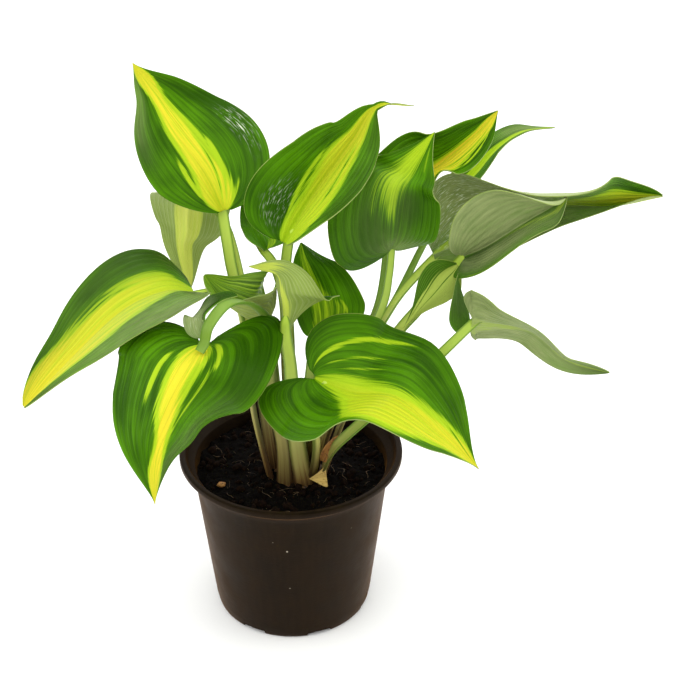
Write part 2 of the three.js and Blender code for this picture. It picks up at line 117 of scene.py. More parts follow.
LEAVES = {
    "01": dict(
        mid=((-35, 21, 248), (-46, 31, 268), (-63, 43, 288), (-75, 53, 305), (-85, 58, 321)),
        head=90, half=(28, 39), wide=0.34, blunt=1.2, lobe=(0, 0.09), flare=(-0.2, 0),
        curl=(-15, -10), roll=(4, -5, 10), fold=(28, -7, 8), low=(-0.6, -0.27, -0.17, -0.22, -1),
        high=(0.6, 0.3, 0.3, 0.35, 1.1), ripe=(0.5, 0.9, 0.8),
        streaks=(
            (0.05, 0.13, 0.45, 0.2, 0.018, -0.7), (0.05, 0.24, 0.42, 0.29, 0.015, -0.6),
            (0.03, -0.45, 0.46, -0.25, 0.07, 0.75), (0.06, 0.2, 0.5, 0.36, 0.05, 0.7),
            (0, 0.5, 0.24, 0.52, 0.05, 0.6), (0.03, -0.62, 0.3, -0.6, 0.03, 0.35),
        ),
        patches=(("film", 0.37, 0.82, 0.09, 0.13, 0.9), ("haze", 0.75, -0.8, 0.25, 0.3, 0.35)),
    ),
    "02": dict(
        mid=((-51, 38, 256), (-57, 52, 237), (-60, 62, 214), (-63, 68, 200), (-61, 70, 172)),
        head=90, half=(23, 24), wide=0.28, blunt=0.8, lobe=(0.1, 0.1), roll=(12, -8, 13),
        fold=(-3, 15, 6), quilt=0.04, low=(-0.3, -0.35, -0.37, -0.35, -0.6),
        high=(0.3, 0.34, 0.35, 0.36, 0.7), ripe=(0.5, 0.5, 0.6),
        streaks=((0.3, -0.1, 0.95, -0.05, 0.04, -0.35), (0.3, 0.15, 0.9, 0.2, 0.04, -0.3)),
        patches=(("shade", 0.5, 0, 1.2, 1.6, 0.16),),
    ),
    "03": dict(
        mid=((-51, 0, 210), (-67, -6, 214), (-90, -16, 207), (-118, -28, 184), (-145, -38, 158)),
        head=200, half=(28, 34), wide=0.27, blunt=0.6, lobe=(0.1, 0.03), flare=(-0.1, -0.1),
        curl=(4, -6), roll=(-11, 23, 15), fold=(12, 13, 30), low=(0, -0.2, -0.4, -0.48, -0.2),
        high=(0.2, 0.42, 0.5, 0.65, 1.1), ripe=(0, 0.5, 0.95), bloom_and_sheen=(0.3, 0.05),
        streaks=(
            (0.35, 0.3, 0.8, 0.5, 0.03, -0.6), (0.45, 0.42, 0.75, 0.56, 0.025, -0.6),
            (0.5, 0.62, 0.85, 0.72, 0.04, 0.4),
        ),
        patches=(("haze", 0.3, -0.75, 0.3, 0.3, 0.2), ("shade", 0.45, 0.85, 0.6, 0.5, 0.5)),
    ),
    "04": dict(
        mid=((-44, -42, 201), (-52, -60, 196), (-63, -76, 180), (-70, -88, 161), (-69, -94, 133)),
        head=255, half=(41, 47), wide=0.34, blunt=1.4, lobe=(0.57, 0.21), curl=(-28, -11),
        roll=(10, 18, 7), fold=(-4, -34, 12), low=(-0.35, -0.17, -0.24, -0.45, -1),
        high=(0.3, 0.25, 0.17, 0, 0.7), ripe=(0.7, 1, 1),
        streaks=(
            (0, -0.42, 0.3, -0.3, 0.06, 0.7), (0.1, -0.28, 0.66, -0.3, 0.04, 0.6),
            (0.1, 0.38, 0.6, 0.36, 0.05, 0.75), (0.1, 0.27, 0.55, 0.24, 0.02, -0.7),
            (0.3, 0.6, 0.7, 0.62, 0.03, 0.3),
        ),
        patches=(("haze", 0.7, -0.75, 0.3, 0.25, 0.2),),
    ),
    "05": dict(
        mid=(
            (-10.3, 2.8, 189.3), (-17.9, 0.8, 191.4), (-26.5, -0.2, 196.2), (-37.8, 0.8, 205.7),
            (-46, 2.8, 218.8),
        ),
        head=180, half=(33, 32), wide=0.3, blunt=0.77, flare=(0.03, 0.05), curl=(7, 9),
        roll=(-30, 4, 34), fold=(50, 60, 14), low=(-1.2,) * 5, high=(1.2,) * 5, bloom_and_sheen=(0.25, 0.25),
        faint=0.46,
        streaks=((0.2, 0.35, 0.8, 0.55, 0.06, 0.45), (0.3, 0.65, 0.9, 0.75, 0.05, 0.3)),
    ),
    "06": dict(
        mid=(
            (-1.4, -13.3, 246.2), (9.4, -1.6, 260.9), (23.2, 10.2, 277.6), (35.9, 20.1, 292.3),
            (48.7, 25.9, 309), (69.3, 29.9, 308.1),
        ),
        head=90, half=(34, 30), wide=0.38, blunt=0.8, tail=0.8, lobe=(0.08, 0.07), curl=(-5, 3),
        roll=(31, -8, -2), fold=(38, 42, 13), low=(-0.3, -0.2, -0.38, -0.4, -0.8),
        high=(1, 0.62, 0.42, 0.4, 0.9), ripe=(0, 0.5, 0.6), bloom_and_sheen=(0, 0.05),
        streaks=(
            (0.06, -0.15, 0.6, -0.5, 0.06, 0.7), (0.22, 0.36, 0.62, 0.17, 0.025, -0.75),
            (0.3, 0.42, 0.64, 0.26, 0.04, 0.6), (0.1, 0.62, 0.4, 0.6, 0.04, 0.45),
        ),
        patches=(("film", 0.18, -0.5, 0.1, 0.2, 0.6),),
    ),
    "07": dict(
        mid=(
            (57.6, 4, 232.9), (60.2, 0, 246.4), (63.1, 2, 270.5), (69.2, 8, 279.5),
            (79.6, 16, 299),
        ),
        head=90, half=(39, 22), wide=0.37, blunt=1.1, lobe=(0.22, 0.08), flare=(0.03, 0.15),
        roll=(-24, 11, 33), fold=(6, 6, 1), low=(0.12, 0, -0.4, -0.58, -0.9),
        high=(-0.1, -0.06, 0.05, 0.02, 0.2), ripe=(0, 0, 0.4), faint=0.76, soft=0.6,
        streaks=(
            (0.16, -0.14, 1.1, -0.1, 0.12, 0.6), (0.2, -0.35, 1, -0.5, 0.1, 0.5),
            (0.2, -0.6, 0.8, -0.75, 0.08, 0.3), (0.7, 0.3, 1, 0.5, 0.2, 0.45),
            (0.7, -0.6, 1, -0.8, 0.12, 0.4),
        ),
        patches=(
            ("haze", 0.02, 0.4, 0.2, 0.8, 0.5), ("haze", 0.4, -0.25, 0.3, 0.5, 0.1),
            ("shade", 0.15, -0.75, 0.3, 0.5, 0.4), ("shade", 0.42, 0.22, 0.13, 0.3, 0.75),
        ),
    ),
    "08": dict(
        mid=((14, -36, 177), (36, -48, 175), (60, -60, 179), (85, -68, 159), (104, -72, 141)),
        head=-35, half=(46, 42), wide=0.37, blunt=1.4, lobe=(0.21, 0.32), flare=(0.1, 0),
        curl=(3, -9), roll=(-38, 0, 1), fold=(11, 17, 30), low=(-0.15, -0.2, -0.15, -0.36, -0.9),
        high=(0.1, 0.27, 0.95, 0.75, 1.1), ripe=(0, 0.42, 1), faint=0.98, soft=0.32,
        streaks=(
            (-0.06, -0.5, 0.62, -0.92, 0.045, 0.75), (-0.03, -0.36, 0.6, -0.62, 0.035, 0.5),
            (-0.03, -0.24, 0.55, -0.42, 0.03, 0.5), (0.02, 0.3, 0.3, 0.5, 0.03, 0.4),
            (0.1, -0.6, 0.5, -0.95, 0.02, 0.3), (0.7, -0.24, 1.02, -0.3, 0.03, -0.75),
        ),
    ),
    "09": dict(
        mid=(
            (-1.2, -13, 188.6), (-0.8, -20, 209.9), (-1.8, -22, 220.9), (-3.8, -23, 233.8),
            (-19.7, -23, 238.7),
        ),
        head=-90, half=(30, 8), wide=0.37, blunt=1, lobe=(0.03, 0.07), curl=(0, 33),
        roll=(-3, 32, 27), fold=(63, 17, -6), low=(-0.1, -0.1, -0.1, 0, -0.6),
        high=(0.1, 0.1, 0.1, 0.5, 0.9), ripe=(0, 0, 0.4), faint=0.8,
        streaks=((0.3, -0.5, 0.95, -0.45, 0.1, 0.35), (0.66, -0.4, 1.5, -0.4, 0.6, 0.85)),
    ),
    "10": dict(
        mid=((15, 3, 181), (12, 5, 194), (10, 8, 207), (7, 13, 221), (7, 20, 230)), head=90,
        half=(8, 32), wide=0.33, blunt=0.9, lobe=(0.1, 0.09), roll=(1, 4, -3), fold=(6, 9, 2),
        low=(-0.2, 0, -0.1, -0.1, -0.2), high=(0.2, 0.7, 0.4, 0.35, 0.3), faint=0.5,
        streaks=((0.15, 0.75, 0.5, 0.5, 0.05, 0.6), (0.2, 0.2, 0.6, 0.15, 0.06, 0.5)),
        patches=(("film", 0.85, 0.75, 0.12, 0.12, 0.7),),
    ),
    "11": dict(
        mid=((53, 24, 247), (70, 30, 262), (86, 38, 271), (104, 44, 285), (116, 48, 297)), head=90,
        half=(26, 23), wide=0.33, blunt=1, lobe=(0.13, 0.05), curl=(2, 8), roll=(31, 7, -22),
        fold=(23, 47, 8), low=(-0.12, -0.12, -0.16, -0.2, -0.6), high=(0.9, 0.95, 0.7, 0.5, 0.8),
        ripe=(1, 1, 1),
        streaks=((0.5, 0.75, 0.95, 0.45, 0.05, 0.75), (0.45, 0.4, 0.9, 0.3, 0.03, -0.5)),
    ),
    "12": dict(
        mid=((92, 52, 243), (105, 58, 255), (117, 62, 268), (131, 64, 277), (150, 64, 280)),
        head=60, half=(14, 10), wide=0.37, blunt=0.9, lobe=(0.05, 0.05), roll=(4, 36, 20),
        fold=(2, 14, 6), low=(-0.3, -0.3, -0.2, -0.2, -0.6), high=(0.3, 0.35, 0.5, 0.6, 0.7),
        ripe=(0, 0.1, 0.2), faint=0.7, patches=(("haze", 0.8, -0.5, 0.25, 0.5, 0.5),),
    ),
    "13": dict(
        mid=(
            (96.9, 14, 223.7), (109.8, 11, 232.2), (129.9, 8, 248.7), (143.8, 6, 259.2),
            (151.2, 5, 265.8),
        ),
        head=-5, half=(36, 16), wide=0.36, blunt=0.79, lobe=(0.02, 0.21), flare=(-0.08, 0.25),
        curl=(33, 0), roll=(-74, -55, -101), fold=(49, 40, 60),
        low=(-0.04, -0.04, -0.02, 0.15, -0.3), high=(0.05, 0.05, 0.3, 0.5, 0.9), ripe=(0, 0, 0.1),
        bloom_and_sheen=(1.1, 0), faint=0.55,
        streaks=((0.35, 0.45, 1, 0.3, 0.2, 0.45), (0.1, 0.95, 0.6, 0.95, 0.05, 0.5)),
        patches=(
            ("shade", 0.2, 0.45, 0.32, 0.45, 0.9), ("haze", 0.2, 0.45, 0.3, 0.42, 0.5),
            ("haze", 0.65, 0.5, 0.35, 0.6, 0.5),
        ),
    ),
    "14": dict(
        mid=(
            (79.9, 34, 214.2), (110.7, 36, 231.8), (144.8, 36, 244.9), (179, 35, 245),
            (208.9, 34, 251.6),
        ),
        head=0, half=(45, 21), wide=0.37, blunt=0.81, lobe=(0, 0.02), flare=(0.44, -0.02),
        curl=(36, 0), roll=(-38, -72, -11), fold=(-16, 56, 67),
        low=(-0.1, -0.1, -0.1, -0.4, -0.35), high=(0.1, 0.1, 0.12, 0, 0.3), ripe=(0, 0.2, 0.6),
        bloom_and_sheen=(0, 0.5), faint=0.95, streaks=((0.35, 0.4, 0.7, 0.3, 0.05, 0.5),),
        patches=(("haze", 0.3, -0.7, 0.35, 0.8, 1.1), ("film", 0.25, -0.65, 0.35, 0.9, 0.95)),
    ),
    "15": dict(
        mid=((101, -16, 198), (109, -15, 198), (133, -15, 193), (154, -17, 176), (179, -18, 168)),
        head=-10, half=(22, 17), wide=0.28, blunt=0.8, lobe=(0.15, 0.05), roll=(-98, -131, -100),
        fold=(-17, 14, 26), low=(-0.3, -0.15, -0.08, -0.08, -0.2), high=(0.9, 0.5, 0.1, 0.08, 0.2),
        ripe=(0.2, 0, 0), bloom_and_sheen=(0.9, 0.9), faint=0.75,
        patches=(("shade", 0.05, -0.7, 0.16, 0.6, 0.55), ("shade", 0.95, 0, 0.14, 1.2, 0.5)),
    ),
    "16": dict(
        mid=(
            (94.4, 2, 220.5), (93.9, 0, 214.6), (94.4, -2, 205.6), (95.5, -4, 195.2),
            (96.3, -5, 184.8),
        ),
        head=-80, half=(6, 6), wide=0.75, blunt=0.67, flare=(-0.02, 0.03), roll=(9, 17, -15),
        fold=(1, -7, -3), low=(-0.1,) * 5, high=(0.1,) * 5,
        bloom_and_sheen=(0.1, 0.1), faint=0.3, patches=(("shade", 0.5, 0, 0.6, 1.2, 0.5),),
    ),
    "17": dict(
        mid=((-13, 24, 223), (-18, 34, 225), (-21, 44, 227), (-24, 52, 234), (-25, 58, 244)),
        head=90, half=(8, 20), wide=0.33, blunt=0.9, lobe=(0.07, 0.1), roll=(-15, -6, 0),
        fold=(25, 16, 6), low=(0.1, 0.3, 0.4, 0.5, 0.5), high=(0.7, 0.6, 0.5, 0.55, 0.6),
        faint=0.5,
    ),
    "18": dict(
        mid=(
            (-41.9, -43.8, 205.5), (-44.1, -42.9, 216.3), (-43, -39.9, 220.3), (-35, -34.9, 224.6),
            (-25.6, -30.2, 224.6),
        ),
        head=60, half=(18, 2), wide=0.36, blunt=0.58, lobe=(0.01, 0), flare=(0.02, 0),
        roll=(2, 26, -3), fold=(14, -19, 12), low=(-0.1,) * 5, high=(0.1,) * 5, faint=0.3,
        patches=(
            ("haze", 0.25, -0.6, 0.35, 0.8, 0.85), ("shade", 0.72, -0.5, 0.3, 0.9, 0.95),
            ("film", 0.2, -0.6, 0.2, 0.6, 0.25),
        ),
    ),
}
for key, leaf in LEAVES.items():
    LEAVES[key] = USUAL | leaf

# Stalks: the leaf each carries, its foot on the crown, the points it passes on its way up, its
# half width at the foot and under the leaf, and how green it is, from 0 to 1.
STALKS = {
    "01": (
        (-10, -4), ((-16, 3, 140), (-23, 11, 183), (-31, 17, 211), (-34, 20, 231)),
        (3.2, 3.3), 0,
    ),
    "02": ((-6, 4), ((-13, 14, 140), (-25, 27, 190), (-35, 34, 233)), (2.4, 1.8), 0),
    "03": ((-11, -11), ((-20, -7, 137), (-24, 2, 180), (-29, 7, 200), (-40, 5, 208)), (3, 2.8), 0),
    "04": (
        (-3, -18.5),
        (
            (-4, -13, 118), (-10, -8, 145), (-11, -6, 185), (-13, -8, 200),
            (-21, -30, 221), (-31, -44, 227), (-40, -49.5, 217.5), (-43, -47, 205.5),
        ),
        (4.2, 2.7), 0.95,
    ),
    "05": ((-3, -9), ((-5, -6, 145), (-8, 0, 175)), (3, 2.4), 0.6),
    "06": ((-2, -2), ((0, 2, 140), (0, 1, 184), (-1, -6, 222)), (3.6, 2.8), 0),
    "07": ((12, -6), ((23, -7, 135), (37, -6, 166), (52, -2, 200), (56, 2, 219)), (3, 1.8), 0.4),
    "08": ((12, -14), ((15, -25, 126), (12, -34, 155)), (3.6, 2.8), 0),
    "09": ((8.5, -19), ((4.5, -16, 116), (2.5, -13, 138), (1, -11, 169)), (5.4, 2.6), 0),
    "10": ((5, -12), ((8, -7, 127), (12, -2, 158)), (3.4, 2.6), 0.5),
    "11": ((6, -4), ((28, 2, 150), (49, 12, 190), (55, 19, 228)), (2.6, 1.7), 1),
    "12": ((8, 4), ((36, 16, 149), (60, 31, 186), (78, 46, 218)), (2.6, 1.7), 1),
    "13": (
        (18, -7),
        ((31, -8, 135), (46, -3, 163), (62, 3.5, 183), (72, 7, 194), (86, 12.5, 210)),
        (4.4, 3.4), 0,
    ),
    "14": ((13, 0), ((34, 6, 150), (53, 14, 183), (65, 22, 199)), (3.8, 2.5), 0),
    "15": ((15.5, -17), ((22.5, -23, 117), (38, -25, 137), (72, -22, 169)), (4, 2.3), 0.35),
    "17": ((1, 4), ((-2, 11, 149), (-3, 19, 191), (-8, 23, 213)), (3, 2.4), 0),
}
# Where a stalk comes down on its leaf from above, its end.
STALK_ENDS = {"04": (-45.6, -49.5, 201.2)}

# Wing and dry scales at the foot, in the terms of the leaf table
WING = USUAL | dict(
    mid=(
        (64.2, -0.5, 185.8), (72.3, 2.9, 197.2), (79, 6.3, 205.6),
        (86, 9.7, 214.6), (94, 11.9, 220.5),
    ),
    head=90, half=(13, 14), wide=0.74, blunt=0.62, roll=(5, 2, -14), fold=(15, 20, 38),
    low=(-0.9, -0.6, -0.35, -0.3, -0.25), high=(1.2,) * 5,
    streaks=((-0.2, -0.24, 1.3, -0.2, 0.05, -0.8), (-0.2, 0.22, 1.3, 0.2, 0.04, -0.8)),
    patches=(("shade", 0.5, 0.8, 1.6, 0.5, 0.42),), grid=(48, 48),
)
SCALE = USUAL | dict(low=(-1,) * 5, high=(1,) * 5, quilt=0, grid=(20, 20), first=0.03)
FRONT_BRACT = SCALE | dict(
    mid=((21.5, -26, 102.5), (18, -26.3, 102.2), (14.5, -26.2, 101.8), (11, -25.5, 101.2)),
    head=180, half=(5.4, 5.8), wide=0.1, blunt=1, roll=(60, 60, 60), fold=(5, 5, 5), wave=0.2,
)
BROWN_SCALE = SCALE | dict(
    mid=((18, -20.5, 109), (21, -21, 115), (24, -21, 121), (27.5, -20.5, 127.5)),
    head=0, half=(3.4, 3.4), wide=0.45, blunt=0.7, roll=(-75, -75, -75), fold=(15, 15, 15),
    thick=0.4, wave=0.3,
)
# Each light: its name, place, the height that it aims at, its size and its power
LIGHTS = (
    ("key_softbox", (-0.5, -0.7, 1.9), 0.2, 2.4, 23),
    ("top_softbox", (0.5, 0.9, 1.9), 0.2, 2.4, 14),
    ("left_strip", (-1.5, -0.1, 0.5), 0.15, 1.2, 6),
    ("right_strip", (1.5, 0.0, 0.5), 0.15, 1.2, 10),
)


# Materials -------------------------------------------------------------------------------


def linear(hex_colour):
    """An sRGB hex colour as linear RGBA."""
    parts = [int(hex_colour[i : i + 2], 16) / 255 for i in (1, 3, 5)]
    return (*[c / 12.92 if c <= 0.04045 else ((c + 0.055) / 1.055) ** 2.4 for c in parts], 1)


def add_node(tree, kind, inputs=(), stops=(), out=0, **settings):
    """Adds a node with its settings, its input values and links, and a ramp's stops. Gives one
    of its outputs, or all of them if out is None."""
    node = tree.nodes.new("ShaderNode" + kind)
    for name, value in settings.items():
        setattr(node, name, value)
    for socket, value in dict(inputs).items():
        if isinstance(value, bpy.types.NodeSocket):
            tree.links.new(value, node.inputs[socket])
        else:
            node.inputs[socket].default_value = value
    for i, (place, colour) in enumerate(stops):
        elements = node.color_ramp.elements
        stop = elements[i] if i < 2 else elements.new(place)
        stop.position = place
        stop.color = linear(colour)
    return node.outputs if out is None else node.outputs[out]


def new_material(name):
    """An empty material, and the function that adds nodes to it."""
    material = bpy.data.materials.new(name)
    material.use_nodes = True
    material.node_tree.nodes.clear()
    return material, partial(add_node, material.node_tree)


def finished(material, add, shader):
    """The material, with its shader joined to the output."""
    add("OutputMaterial", {"Surface": shader}, out=None)
    return material


def leaf_skin(name, greens, pale, line, gloss, bloom_and_sheen_colour):
    """Living leaf tissue with a waxy skin: a pale centre that feathers out along the veins,
    fine lines over the veins that paint shade into sunken veins and light onto raised ones,
    painted shade in dark blue-green, grey wax mixed with painted sheen, painted highlight
    flecks, a paler olive line along the margin, and a soft gloss over the tiny bumps between
    the veins."""
    dark, green = greens
    lime, yellow = pale
    line_colour, line_share = line
    material, add = new_material(name)
    marking, wax, vein = (
        add("Attribute", attribute_name=layer, out="Vector") for layer in ("marking", "wax", "vein")
    )
    band, ripe, across = add("SeparateXYZ", {0: marking}, out=None)
    # haze is grey wax mixed with painted sheen, shade is painted shade, film is painted highlight
    # flecks.
    haze, shade, film = add("SeparateXYZ", {0: wax}, out=None)

    # Patterns drawn out along the veins. A scale of 0.025 per mm gives marks about 40 mm long.
    long_streak, fine_streak, patch, cloud, fleck, ribs = (
        add(
            "TexNoise",
            {
                "Vector": add("Mapping", {"Vector": vein, "Scale": scale}), "Scale": 1,
                "Detail": detail, "Roughness": roughness,
            },
        )
        for scale, detail, roughness in (
            ((0.024, 0.42, 1), 5, 0.6),  # streaks about 40 mm long and 2.5 mm apart
            ((0.03, 1.5, 1), 3, 0.55),  # finer streaks between them
            ((0.03, 0.05, 1), 2, 0.5),  # soft differences of green, about 30 mm across
            ((0.12, 0.3, 1), 4, 0.5),  # clouds of grey wax and painted sheen, 3 to 8 mm
            ((0.25, 1.5, 1), 4, 0.5),  # flecks of painted highlight, about 4 mm long
            ((0.35, 1.2, 1), 2, 0.5),  # ribs of the skin, about 3 mm long
        )
    )

    # Streaks feather the green, and the edge where the pale centre begins.
    feather = add("Math", {0: long_streak, 1: 0.7, 2: -0.35}, operation="MULTIPLY_ADD")
    fine = add("Math", {0: fine_streak, 1: 0.6, 2: -0.3}, operation="MULTIPLY_ADD")
    streak = add("Math", {0: feather, 1: fine}, operation="ADD")
    place = add("Math", {0: band, 1: streak}, operation="ADD")
    patch = add("Math", {0: streak, 1: 0.75, 2: patch}, operation="MULTIPLY_ADD")
    body = add("ValToRGB", {0: patch}, stops=((0.34, dark), (0.7, green)))
    spread = add("Math", {0: place, 1: 0.8}, operation="MULTIPLY")
    young = add("ValToRGB", {0: spread}, stops=((0.3, green), (1.0, lime), (0.52, lime)))
    full = add(
        "ValToRGB", {0: spread}, stops=((0.3, green), (0.84, yellow), (0.46, lime), (0.64, lime))
    )
    centre = add("Mix", {0: ripe, 6: young, 7: full}, data_type="RGBA", out=2)
    share = add("MapRange", {0: place, 1: 0.27, 2: 0.55}, interpolation_type="SMOOTHSTEP")
    colour = add("Mix", {0: share, 6: body, 7: centre}, data_type="RGBA", out=2)

    # Lines over the veins, in the given line colour: dark lines paint shade into the sunken veins
    # of the upper side, pale lines paint light onto the raised veins below. Each takes up a small
    # part of the 3 to 5 mm between two veins, and is weaker over the pale centre.
    turn = add("Math", {0: across, 1: VEINS * math.tau}, operation="MULTIPLY")
    wave = add("Math", {0: turn}, operation="COSINE")
    lines = add(
        "MapRange", {0: wave, 1: 0.55, 2: 1.0, 3: 0.0, 4: line_share},
        interpolation_type="SMOOTHSTEP",
    )
    quiet = add("Math", {0: share, 1: -0.75, 2: 1.1}, operation="MULTIPLY_ADD")
    lines = add("Math", {0: lines, 1: quiet}, operation="MULTIPLY")
    cloud = add("Math", {0: cloud, 1: 0.35}, operation="ADD")
    cloud = add("Math", {0: haze, 1: cloud}, operation="MULTIPLY", use_clamp=True)
    # Pale flecks are painted highlight, where film is set.
    fleck = add("MapRange", {0: fleck, 1: 0.54, 2: 0.7})
    fleck = add("Math", {0: fleck, 1: film}, operation="MULTIPLY")
    edge = add("MapRange", {0: across, 1: 0.99, 2: 1.0}, interpolation_type="SMOOTHSTEP")
    # From below upwards: the lines, painted shade in dark blue-green, grey wax mixed with
    # painted sheen, painted highlight flecks in pale grey, and a paler olive line along the very
    # margin.
    for cover, tint in (
        (lines, line_colour), (shade, "#24400F"), (cloud, bloom_and_sheen_colour), (fleck, "#DDE2CF"),
        (edge, "#7F9440"),
    ):
        colour = add("Mix", {0: cover, 6: colour, 7: linear(tint)}, data_type="RGBA", out=2)

    # Bumps of the skin, about half a millimetre, drawn as coarse as they need to show.
    grain = add("TexNoise", {"Vector": vein, "Scale": 1.1, "Detail": 3})
    height = add("Math", {0: ribs, 1: 1.3, 2: grain}, operation="MULTIPLY_ADD")
    bump = add("Bump", {"Strength": 0.5, "Distance": 0.0004, "Height": height})
    rough = add("MapRange", {0: ribs, 1: 0.3, 2: 0.7, 3: gloss - 0.06, 4: gloss + 0.1})
    shader = add(
        "BsdfPrincipled",
        {
            "Base Color": colour, "Roughness": rough, "IOR": 1.4, "Specular IOR Level": 0.14,
            "Specular Tint": linear("#F2F4B4"), "Normal": bump,
        },
    )
    return finished(material, add, shader)


def leaf_margin():
    """The cut of a leaf's margin: thin, pale and slightly clear tissue."""
    material, add = new_material("leaf_margin")
    vein = add("Attribute", attribute_name="vein", out="Vector")
    tint = add("TexNoise", {"Vector": vein, "Scale": 0.15, "Detail": 2})
    colour = add("ValToRGB", {0: tint}, stops=((0.3, "#6E8238"), (0.7, "#93A452")))
    shader = add("BsdfPrincipled", {"Base Color": colour, "Roughness": 0.45, "IOR": 1.42})
    return finished(material, add, shader)


def stalk_skin():
    """Leaf stalks: fleshy and smooth, red-brown then cream at the foot where soil shades them,
    then fresh green, with fine lengthwise ribs, and sides painted darker as the shade in the gaps
    between the stalks, darkest near the foot."""
    material, add = new_material("stalk_skin")
    marking, vein = (
        add("Attribute", attribute_name=layer, out="Vector") for layer in ("marking", "vein")
    )
    rise, aside, tint = add("SeparateXYZ", {0: marking}, out=None)
    # Ribs run the whole way up, 0.8 mm apart round the stalk.
    rib_map = add("Mapping", {"Vector": vein, "Scale": (0.02, 1.3, 1)})
    rib = add("TexNoise", {"Vector": rib_map, "Scale": 1, "Detail": 3})
    drift = add("Math", {0: rib, 1: 0.16, 2: -0.08}, operation="MULTIPLY_ADD")
    height = add("Math", {0: rise, 1: drift}, operation="ADD")
    # Greener stalks hold less of the cream.
    creamy, greener = (
        add("ValToRGB", {0: height}, stops=stops)
        for stops in (
            (
                (0.0, "#402A14"), (1.0, "#B4D048"), (0.05, "#745A32"), (0.13, "#9E9254"),
                (0.3, "#ABAE5E"), (0.55, "#AEC254"),
            ),
            ((0.0, "#4A3018"), (1.0, "#6E9030"), (0.13, "#968C4E"), (0.5, "#76963A")),
        )
    )
    colour = add("Mix", {0: tint, 6: creamy, 7: greener}, data_type="RGBA", out=2)
    # Painted shade: the sides turn dark brown near the foot and dark green higher up, for the shade
    # in the gaps between the stalks.
    edge = add(
        "MapRange", {0: aside, 1: 0.5, 2: 0.95, 3: 0.0, 4: 0.85}, interpolation_type="SMOOTHSTEP"
    )
    rim = add("ValToRGB", {0: rise}, stops=((0.08, "#35200F"), (0.45, "#557A1E")))
    colour = add("Mix", {0: edge, 6: colour, 7: rim}, data_type="RGBA", out=2)
    bump = add("Bump", {"Strength": 0.5, "Distance": 0.0004, "Height": rib})
    rough = add("MapRange", {0: rib, 3: 0.34, 4: 0.5})
    shader = add(
        "BsdfPrincipled",
        {
            "Base Color": colour, "Roughness": rough, "IOR": 1.42, "Specular IOR Level": 0.3,
            "Normal": bump,
        },
    )
    return finished(material, add, shader)


def husk_skin(name, pale, deep, spot):
    """Dry sheath, scale, shoot foot or root: papery, ribbed lengthwise, with darker flecks."""
    material, add = new_material(name)
    vein = add("Attribute", attribute_name="vein", out="Vector")
    rib_map = add("Mapping", {"Vector": vein, "Scale": (0.06, 1.4, 1)})
    rib = add("TexNoise", {"Vector": rib_map, "Scale": 1, "Detail": 4})
    colour = add("ValToRGB", {0: rib}, stops=((0.3, deep), (0.62, pale)))
    fleck = add("TexNoise", {"Vector": vein, "Scale": 0.5, "Detail": 3})
    share = add("MapRange", {0: fleck, 1: 0.55, 2: 0.7})
    colour = add("Mix", {0: share, 6: colour, 7: linear(spot)}, data_type="RGBA", out=2)
    bump = add("Bump", {"Strength": 0.6, "Distance": 0.0004, "Height": rib})
    shader = add(
        "BsdfPrincipled", {"Base Color": colour, "Roughness": 0.62, "IOR": 1.45, "Normal": bump}
    )
    return finished(material, add, shader)


def pot_plastic():
    """Thermoformed black polypropylene of a nursery pot: warm black, satin, with a dusty film,
    faint draw marks down the wall, fine scuffs and a few pale specks of dried compost."""
    material, add = new_material("pot_polypropylene")
    place = add("TexCoord", out="Object")
    # Film and draw marks: cloudy patches 20 mm across, marks 2 mm wide down the wall.
    film = add("TexNoise", {"Vector": place, "Scale": 55, "Detail": 4})
    mark_map = add("Mapping", {"Vector": place, "Scale": (420, 420, 14)})
    mark = add("TexNoise", {"Vector": mark_map, "Scale": 1, "Detail": 2})
    dust = add("Mix", {0: 0.3, 2: film, 3: mark}, data_type="FLOAT")
    colour = add("ValToRGB", {0: dust}, stops=((0.35, "#0E0905"), (0.65, "#1A120A")))
    # Specks: one in a few cells of 9 mm.
    cell = add(
        "TexVoronoi", {"Vector": place, "Scale": 110, "Randomness": 1.0}, feature="F1", out=None
    )
    speck = add("MapRange", {0: cell["Distance"], 1: 0.075, 2: 0.035})
    pick = add("SeparateColor", {0: cell["Color"]})
    pick = add("Math", {0: pick, 1: 0.86}, operation="GREATER_THAN")
    speck = add("Math", {0: speck, 1: pick}, operation="MULTIPLY")
    colour = add("Mix", {0: speck, 6: colour, 7: linear("#A9A08E")}, data_type="RGBA", out=2)
    scuff_map = add("Mapping", {"Vector": place, "Scale": (300, 300, 900)})
    scuff = add("TexNoise", {"Vector": scuff_map, "Scale": 1, "Detail": 5})
    rough = add("MapRange", {0: film, 1: 0.3, 2: 0.7, 3: 0.42, 4: 0.6})
    bump = add("Bump", {"Strength": 0.25, "Distance": 0.0003, "Height": scuff})
    shader = add(
        "BsdfPrincipled",
        {
            "Base Color": colour, "Roughness": rough, "IOR": 1.49, "Specular IOR Level": 0.08,
            "Specular Tint": linear("#FFDDB4"), "Sheen Weight": 0.22, "Sheen Roughness": 0.35,
            "Sheen Tint": linear("#C8883E"), "Normal": bump,
        },
    )
    return finished(material, add, shader)


def peat(name, low, high, scale):
    """Damp peat compost: near black, matt, crumbly at every size down to half a millimetre."""
    material, add = new_material(name)
    place = add("TexCoord", out="Object")
    lump = add("TexNoise", {"Vector": place, "Scale": scale, "Detail": 8, "Roughness": 0.7})
    colour = add("ValToRGB", {0: lump}, stops=((0.35, low), (0.75, high)))
    bump = add("Bump", {"Strength": 0.9, "Distance": 0.001, "Height": lump})
    shader = add(
        "BsdfPrincipled",
        {
            "Base Color": colour, "Roughness": 0.9, "IOR": 1.4, "Specular IOR Level": 0.1,
            "Normal": bump,
        },
    )
    return finished(material, add, shader)


